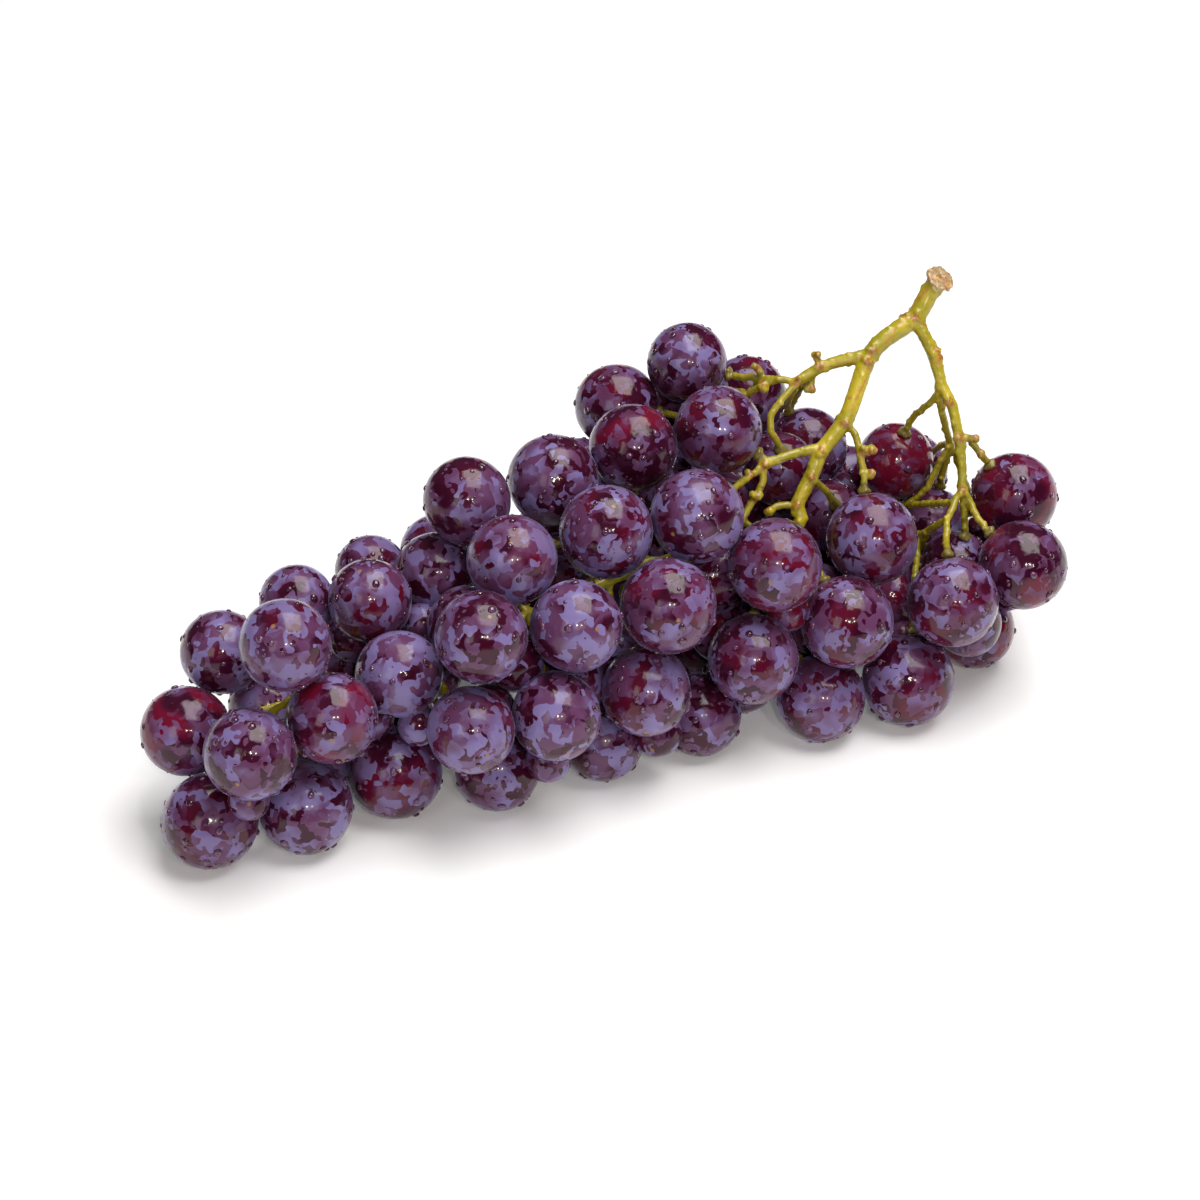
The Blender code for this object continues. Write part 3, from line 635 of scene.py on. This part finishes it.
def dressGrapes():
    dropCount = 0
    for node in sorted({grape["node"] for grape in grapes}):
        mesh = bmesh.new()
        layers = {name: mesh.verts.layers.float.new(name)
                  for name in ("fromScar", "bloomAmount", "redness")}
        for grape in grapes:
            if grape["node"] == node:
                grapeBody(grape, mesh, layers)
                if node != "inner":
                    dropCount += drops(grape, grape["random"], mesh, layers)
        bmesh.ops.recalc_face_normals(mesh, faces=mesh.faces)
        data = bpy.data.meshes.new(node + "_skin")
        mesh.to_mesh(data)
        mesh.free()
        data.materials.append(skinMaterial)
        data.materials.append(dewMaterial)
        piece = bpy.data.objects.new(node + "_skin", data)
        scene.collection.objects.link(piece)
        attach(piece, "root")
        if node != "inner":
            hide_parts(node)
    return dropCount


print("drops of water:", dressGrapes())


# Stem

stemStyle = {
    "voxel": 0.50 * mm,
    "smoothing": 4,
    "softness": 0.5,
    "thinnest": 0.80 * mm,  # radius of a pedicel
    "mostPush": 0.35 * mm,
    "swell": 0.16 * mm,  # gives back what smoothing takes
    "thickest": 3.0 * mm,  # radius where nothing is measured
    "measured": 12 * mm,
    "ridge": 0.10 * mm,
    "ridges": 900.0,  # to the metre
    "fineRidges": 2100.0,
    "markReach": 2.6 * mm,
    "streakReach": 0.75 * mm,
    "streakSteps": 14,
    "holderReach": 3.4 * mm,
}
wartStyle = {
    "seed": 51,
    "tries": 9000,
    "size": (0.42 * mm, 0.78 * mm),
    "spacing": 2.0 * mm,
    "thickBranch": 2.4 * mm,  # across; only some of the warts are on branches as thick
    "thickShare": 0.08,
}
knotStyle = {
    "seed": 77,
    "warts": 3,
    "wart": (0.65 * mm, 1.0 * mm),
    "spread": 0.8 * mm,
    "balls": 4,  # a knob is a cluster of these
    "ball": (0.75 * mm, 1.10 * mm),
    "ballSpread": 0.55 * mm,
}
receptacleStyle = {
    "firstSeed": 900,
    "sunk": 0.15 * mm,
    "radius": 1.65 * mm,
    "rise": 0.75,  # mm
    "flat": 0.62,
    "neck": 0.95 * mm,
    "neckRise": 1.7,  # mm
    "neckLong": 1.2,
    "warts": (7, 10),
    "wart": 0.65 * mm,
    "wartRise": (0.5, 1.3),  # mm
}
cutStyle = {
    "depth": 1.7 * mm,
    "tilt": 0.85,
    "back": 2.0 * mm,
    "reach": 9 * mm,
    "flare": 0.55 * mm,
    "flareLong": 3 * mm,
    "smoother": 0.4,  # share of the ridges that the cut face keeps
    "toward": (0.35, 0.0, 1.0),  # roughly where the peduncle points
    "rim": 8,  # points of the solid round the end face
    "inside": 12 * mm,
}
# pixels of the picture where the stem shows a swollen knot, a knob or a red-brown streak
knots = (
    (915, 318), (903, 313), (926, 324), (868, 362), (873, 350), (845, 424), (836, 419),
    (821, 451), (797, 382), (941, 357), (938, 348), (949, 403), (960, 438), (948, 402),
    (962, 490), (764, 465), (812, 478), (796, 505), (931, 274), (940, 283), (820, 366),
)
knobs = (
    (817, 356), (811, 388), (757, 368), (872, 474), (974, 438), (768, 510), (872, 452),
    (763, 385), (750, 476), (756, 496), (980, 455), (864, 452),
)
streaks = (
    ((929, 288), (908, 310)), ((902, 322), (884, 345)), ((866, 378), (850, 412)),
    ((838, 366), (880, 352)), ((934, 350), (940, 366)),
)


def onStem(across, down):
    # the place on the stem that a pixel shows, or the nearest to its line of sight
    line = sight(across, down)
    hit = stemSurface.ray_cast(eye, line)[0]
    if hit is None:
        distance = view["distance"]
        for _ in range(4):
            hit = stemSurface.find_nearest(eye + line * distance)[0]
            distance = (hit - eye).dot(line)
    return hit


class Lumps:
    # the stem's solid and all the small lumps on it, as one loose mesh to be fused
    def __init__(self, mesh):
        ball = bmesh.new()
        bmesh.ops.create_icosphere(ball, subdivisions=2, radius=1.0)
        self.ballPoints = np.array([vert.co for vert in ball.verts])
        self.ballFaces = np.array([[vert.index for vert in face.verts] for face in ball.faces])
        ball.free()
        mesh.verts.index_update()
        self.points = [np.array([vert.co for vert in mesh.verts])]
        self.faces = [[vert.index for vert in face.verts] for face in mesh.faces]
        self.count = len(mesh.verts)

    def add(self, place, radius, axis=None, flat=1.0):
        points = self.ballPoints * np.array((1.0, 1.0, flat)) * radius
        if axis is not None:
            turn = np.array(axis.to_track_quat("Z", "Y").to_matrix())
            points = points @ turn.T
        self.points.append(points + np.array(place))
        self.faces += (self.ballFaces + self.count).tolist()
        self.count += len(points)

    def data(self, name):
        made = bpy.data.meshes.new(name)
        made.from_pydata(np.vstack(self.points).tolist(), [], self.faces)
        return made


def addReceptacles(lumps):
    # a warty ring where each grape is held
    style = receptacleStyle
    for number, grape in enumerate(grapes):
        if not grape["held"]:
            continue
        random = np.random.default_rng(style["firstSeed"] + number)
        axis = Vector(grape["stalk"])
        foot = Vector(grape["middle"]) + axis * (grape["radius"] - style["sunk"])
        lumps.add(foot + axis * style["rise"] * mm, style["radius"], axis, style["flat"])
        lumps.add(foot + axis * style["neckRise"] * mm, style["neck"], axis, style["neckLong"])
        side, other = frameAround(grape["stalk"])
        count = int(random.integers(*style["warts"]))
        for step in range(count):
            angle = 2 * math.pi * (step + random.uniform(-0.3, 0.3)) / count
            around = Vector(math.cos(angle) * side + math.sin(angle) * other)
            rise = random.uniform(*style["wartRise"]) * mm
            reach = style["radius"] * random.uniform(0.80, 1.0)
            size = style["wart"] * random.uniform(0.7, 1.15)
            lumps.add(foot + axis * rise + around * reach, size)


def addWarts(lumps):
    # small bumps all over the twigs, on points spread over the surface
    random = np.random.default_rng(wartStyle["seed"])
    faces = list(stemMesh.faces)
    areas = np.array([face.calc_area() for face in faces])
    corners = [[vert.co.copy() for vert in face.verts] for face in faces]
    kept = []
    for pick in random.choice(len(faces), wartStyle["tries"], p=areas / areas.sum()):
        shares = random.random(len(corners[pick]))
        shares /= shares.sum()
        parts = (corner * float(share) for corner, share in zip(corners[pick], shares))
        place = sum(parts, Vector())
        inward = -faces[pick].normal
        through = stemSurface.ray_cast(place + inward * 0.1 * mm, inward, 20 * mm)[3] or 0.0
        if through > wartStyle["thickBranch"] and random.random() > wartStyle["thickShare"]:
            continue
        if all((place - other).length > wartStyle["spacing"] for other in kept):
            kept.append(place)
            lumps.add(place, random.uniform(*wartStyle["size"]))
    return len(kept)


def addKnots(lumps):
    random = np.random.default_rng(knotStyle["seed"])
    marks = []
    for pixel in knots:
        place = onStem(*pixel)
        marks.append(place)
        for _ in range(knotStyle["warts"]):
            push = Vector(random.normal(0, knotStyle["spread"], 3))
            spot = stemSurface.find_nearest(place + push)[0]
            lumps.add(spot, random.uniform(*knotStyle["wart"]))
    for pixel in knobs:
        place = onStem(*pixel)
        marks.append(place)
        for _ in range(knotStyle["balls"]):
            push = Vector(random.normal(0, knotStyle["ballSpread"], 3))
            lumps.add(place + push, random.uniform(*knotStyle["ball"]))
    return marks


def remeshed(lumps):
    piece = bpy.data.objects.new("stem_skin", lumps.data("stem_lumps"))
    scene.collection.objects.link(piece)
    remesh = piece.modifiers.new("fuse", "REMESH")
    remesh.mode = "VOXEL"
    remesh.voxel_size = stemStyle["voxel"]
    smooth = piece.modifiers.new("soften", "SMOOTH")
    smooth.factor = stemStyle["softness"]
    smooth.iterations = stemStyle["smoothing"]
    bpy.context.view_layer.update()
    shaped = bpy.data.meshes.new_from_object(
        piece.evaluated_get(bpy.context.evaluated_depsgraph_get()))
    piece.modifiers.clear()
    piece.data = shaped
    return piece


def buildStem():
    lumps = Lumps(stemMesh)
    wartCount = addWarts(lumps)
    marks = addKnots(lumps)
    addReceptacles(lumps)
    lines = []
    for start, end in streaks:
        for share in np.linspace(0, 1, stemStyle["streakSteps"]):
            across = start[0] + share * (end[0] - start[0])
            down = start[1] + share * (end[1] - start[1])
            lines.append(onStem(across, down))
    stemMesh.free()
    piece = remeshed(lumps)
    piece.name = piece.data.name = "stem_skin"
    shapeStem(piece.data, marks, lines)
    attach(piece, "root")
    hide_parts("stem")
    return piece, wartCount


def shapeStem(data, marks, lines):
    mesh = bmesh.new()
    mesh.from_mesh(data)
    mesh.normal_update()
    thickTree = BVHTree.FromBMesh(mesh)
    layers = {name: mesh.verts.layers.float.new(name)
              for name in ("mark", "streak", "thick", "cut", "holder")}
    places = np.array([vert.co for vert in mesh.verts])
    normals = np.array([vert.normal for vert in mesh.verts])
    thick = np.full(len(places), stemStyle["thickest"])
    for index, (place, normal) in enumerate(zip(places, normals)):
        inward = Vector(-normal)
        start = Vector(place) + inward * 0.05 * mm
        hit = thickTree.ray_cast(start, inward, stemStyle["measured"])
        if hit[0] is not None:
            thick[index] = hit[3] / 2
    near = nearness(places, np.array(marks), stemStyle["markReach"])
    streak = nearness(places, np.array(lines), stemStyle["streakReach"])
    holds = np.array([grape["middle"] + grape["stalk"] * grape["radius"]
                      for grape in grapes if grape["held"]])
    holder = nearness(places, holds, stemStyle["holderReach"])
    # the cut end is a slanting flat face at the far end of the peduncle
    along = cutAxis / np.linalg.norm(cutAxis)
    slant = along + cutStyle["tilt"] * np.array(back)
    slant /= np.linalg.norm(slant)
    beyond = (places - cutMiddle + along * cutStyle["back"]) @ slant
    close = np.linalg.norm(places - cutMiddle, axis=1) < cutStyle["reach"]
    cut = np.where(close, np.clip(1 + beyond / cutStyle["depth"], 0, 1), 0)
    flare = np.where(close, np.clip(1 + beyond / cutStyle["flareLong"], 0, 1), 0)
    push = np.clip(stemStyle["thinnest"] - thick, 0, stemStyle["mostPush"]) + stemStyle["swell"]
    push += cutStyle["flare"] * flare ** 2
    for index, vert in enumerate(mesh.verts):
        place = vert.co
        ridge = noise.noise(place * stemStyle["ridges"])
        ridge += 0.5 * noise.noise(place * stemStyle["fineRidges"])
        if cut[index] > 0.8:
            ridge *= cutStyle["smoother"]
        vert.co = place + vert.normal * (push[index] + ridge * stemStyle["ridge"])
        if close[index] and beyond[index] > 0:
            vert.co -= Vector(along) * float(beyond[index] / (along @ slant))
        vert.co.z = max(vert.co.z, 0.0)
        for name, values in (("mark", near), ("streak", streak), ("thick", thick / mm),
                             ("cut", cut), ("holder", holder)):
            vert[layers[name]] = float(values[index])
    for face in mesh.faces:
        face.smooth = True
    mesh.to_mesh(data)
    mesh.free()
    data.materials.clear()
    data.materials.append(stemMaterial)


def nearness(places, spots, reach):
    best = np.full(len(places), np.inf)
    for spot in spots:
        best = np.minimum(best, np.linalg.norm(places - spot, axis=1))
    return np.clip(1 - best / reach, 0, 1)


stemColours = {
    "green": colour(0.36, 0.30, 0.008),
    "lime": colour(0.56, 0.435, 0.022),
    "olive": colour(0.15, 0.125, 0.009),
    "mark": colour(0.34, 0.095, 0.032),
    "orange": colour(0.50, 0.21, 0.055),
    "holder": colour(0.17, 0.125, 0.030),
    "cut": colour(0.66, 0.50, 0.27),
    "bark": colour(0.16, 0.075, 0.030),
}
stemPattern = {  # sizes to the metre, and the values between which each pattern fades in
    "wide": 90.0,
    "limeEdge": (0.35, 0.65),
    "fine": 700.0,
    "oliveEdge": (0.50, 0.80),
    "oliveShare": 0.55,
    "thinEdge": (0.6, 1.4),  # mm
    "thinShare": 0.35,
    "patches": 1100.0,
    "patchShare": 0.35,
    "markEdge": (0.55, 0.95),
    "markShare": 0.85,
    "streakEdge": (0.10, 0.60),
    "freckles": 520.0,
    "freckleEdge": (0.66, 0.72),
    "holderEdge": (0.05, 0.35),
    "holderShare": 0.85,
    "faceEdge": (0.86, 0.93),
    "rimEdge": (0.30, 0.55),
    "rimShare": 0.8,
    "cracks": 380.0,
    "crackEdge": (0.46, 0.50),
    "grain": 2600.0,
    "grainDepth": 0.18 * mm,
    "rough": (0.28, 0.46),
}


def makeStem():
    nodes = Nodes("stem")
    paint, pattern = stemColours, stemPattern
    where = nodes.node("ShaderNodeTexCoord").outputs["Object"]
    wide = nodes.noise(where, pattern["wide"], 3.0)
    fine = nodes.noise(where, pattern["fine"], 4.0, 0.6)
    body = nodes.mix(nodes.range(wide, *pattern["limeEdge"]), paint["green"], paint["lime"])
    shade = nodes.range(fine, *pattern["oliveEdge"], 0.0, pattern["oliveShare"])
    body = nodes.mix(shade, body, paint["olive"])
    thin = nodes.range(nodes.painted("thick"), *pattern["thinEdge"], pattern["thinShare"], 0.0)
    body = nodes.mix(thin, body, paint["olive"])
    patchy = nodes.range(nodes.noise(where, pattern["patches"], 3.0), 0.40, 0.60)
    mark = nodes.sum("MULTIPLY_ADD", patchy, pattern["patchShare"], nodes.painted("mark"))
    mark = nodes.range(mark, *pattern["markEdge"])
    body = nodes.mix(nodes.sum("MULTIPLY", mark, pattern["markShare"]), body, paint["mark"])
    streak = nodes.sum("MULTIPLY", nodes.painted("streak"), nodes.range(fine, 0.3, 0.6))
    streak = nodes.range(streak, *pattern["streakEdge"], 0.0, 0.8)
    body = nodes.mix(streak, body, paint["orange"])
    freckle = nodes.range(nodes.noise(where, pattern["freckles"], 2.0), *pattern["freckleEdge"], 0.0, 0.7)
    body = nodes.mix(freckle, body, paint["orange"])
    holder = nodes.range(nodes.painted("holder"), *pattern["holderEdge"], 0.0, pattern["holderShare"])
    body = nodes.mix(holder, body, paint["holder"])

    # the cut end: pale wood with cracks, and a rim where the bark is scraped off
    cut = nodes.painted("cut")
    rim = nodes.sum("MULTIPLY", nodes.range(cut, *pattern["rimEdge"]), nodes.range(fine, 0.35, 0.6))
    wood = nodes.mix(nodes.range(fine, 0.45, 0.62), paint["cut"], paint["orange"])
    crack = nodes.range(nodes.noise(where, pattern["cracks"], 2.0, 0.5, 1.5), *pattern["crackEdge"])
    wood = nodes.mix(nodes.sum("MULTIPLY", crack, 0.5), wood, paint["bark"])
    body = nodes.mix(nodes.sum("MULTIPLY", rim, pattern["rimShare"]), body, paint["cut"])
    body = nodes.mix(nodes.range(cut, *pattern["faceEdge"]), body, wood)

    height = nodes.sum("MULTIPLY_ADD", fine, 0.6, nodes.noise(where, pattern["grain"], 3.0))
    return nodes.finish(
        Base_Color=body, Roughness=nodes.range(fine, 0.3, 0.7, *pattern["rough"]),
        Normal=nodes.bump(height, 0.4, pattern["grainDepth"]),
        Coat_Weight=0.35, Coat_Roughness=0.18,
    )


stemMaterial = makeStem()


def findCut():
    # the flat end face: the outermost points of the stem, and the way that they face
    score = stemPoints @ np.array(cutStyle["toward"])
    seed = stemPoints[np.argsort(-score)[:cutStyle["rim"]]].mean(axis=0)
    away = np.linalg.norm(stemPoints - seed, axis=1)
    rim = stemPoints[np.argsort(away)[:cutStyle["rim"]]]
    middle = rim.mean(axis=0)
    axis = np.linalg.svd(rim - middle)[2][2]
    near = np.linalg.norm(stemPoints - middle, axis=1) < cutStyle["inside"]
    inside = stemPoints[near].mean(axis=0)
    return middle, axis if axis @ (middle - inside) > 0 else -axis


cutMiddle, cutAxis = findCut()
stemPiece, wartCount = buildStem()
print("stem faces:", len(stemPiece.data.polygons), "warts:", wartCount)


# Studio

studio = {
    "floor": colour(0.93, 0.93, 0.935),
    "floorSize": 8.0,
    "floorRough": (0.55, 0.65),
    "mottles": 40.0,
    "glow": 0.11,  # the floor glows with light painted into it, as if lit from below, which softens the shadow
    "bounces": 4,  # light soon dies out between dark grapes
    "diffuseBounces": 2,
    "glossyBounces": 1,
    "skyTop": 1.75,
    "skySide": 0.30,
    "skyEdge": (0.25, 0.75),  # how far up the sky fades from one to the other
    "lights": (
        # name, place, size, power, colour
        ("softbox", (0.42, -0.10, 1.60), (1.6, 1.1), 35.0, (1.0, 0.985, 0.97)),
        ("fill", (-1.3, -0.9, 0.9), (0.5, 0.9), 4.0, (0.97, 0.98, 1.0)),
        ("glint", (-0.42, -1.10, 0.85), (0.05, 0.05), 3.0, (1.0, 0.93, 0.86)),
        ("secondGlint", (-0.15, -1.15, 0.80), (0.03, 0.06), 1.8, (1.0, 0.90, 0.80)),
    ),
}


def buildStudio():
    mesh = bmesh.new()
    bmesh.ops.create_grid(mesh, x_segments=1, y_segments=1, size=studio["floorSize"] / 2)
    data = bpy.data.meshes.new("floor")
    mesh.to_mesh(data)
    mesh.free()
    floor = bpy.data.objects.new("floor", data)
    scene.collection.objects.link(floor)
    nodes = Nodes("floor")
    where = nodes.node("ShaderNodeTexCoord").outputs["Object"]
    mottled = nodes.noise(where, studio["mottles"])
    rough = nodes.range(mottled, 0.3, 0.7, *studio["floorRough"])
    # the emission is painted light: the floor glows, which lightens the shadow under the bunch
    data.materials.append(nodes.finish(
        Base_Color=studio["floor"], Roughness=rough, Specular_IOR_Level=0.0,
        Emission_Color=studio["floor"], Emission_Strength=studio["glow"],
    ))
    for name, place, size, power, tint in studio["lights"]:
        light = bpy.data.lights.new(name, "AREA")
        light.shape = "RECTANGLE"
        light.size, light.size_y = size
        light.energy = power
        light.color = tint
        lamp = bpy.data.objects.new(name, light)
        lamp.location = place
        away = Vector(place) - Vector(view["lookAt"])
        lamp.rotation_euler = away.to_track_quat("Z", "Y").to_euler()
        scene.collection.objects.link(lamp)
    world = bpy.data.worlds.new("studio")
    world.use_nodes = True
    tree = world.node_tree
    sky = tree.nodes["Background"]
    direction = tree.nodes.new("ShaderNodeSeparateXYZ")
    height = tree.nodes.new("ShaderNodeMapRange")
    tree.links.new(tree.nodes.new("ShaderNodeTexCoord").outputs["Generated"], direction.inputs[0])
    tree.links.new(direction.outputs["Z"], height.inputs["Value"])
    height.inputs["From Min"].default_value, height.inputs["From Max"].default_value = studio["skyEdge"]
    height.inputs["To Min"].default_value = studio["skySide"]
    height.inputs["To Max"].default_value = studio["skyTop"]
    tree.links.new(height.outputs["Result"], sky.inputs["Strength"])
    scene.world = world
    scene.view_settings.view_transform = "Standard"
    scene.cycles.max_bounces = studio["bounces"]
    scene.cycles.diffuse_bounces = studio["diffuseBounces"]
    scene.cycles.glossy_bounces = studio["glossyBounces"]


buildStudio()
bpy.context.view_layer.update()
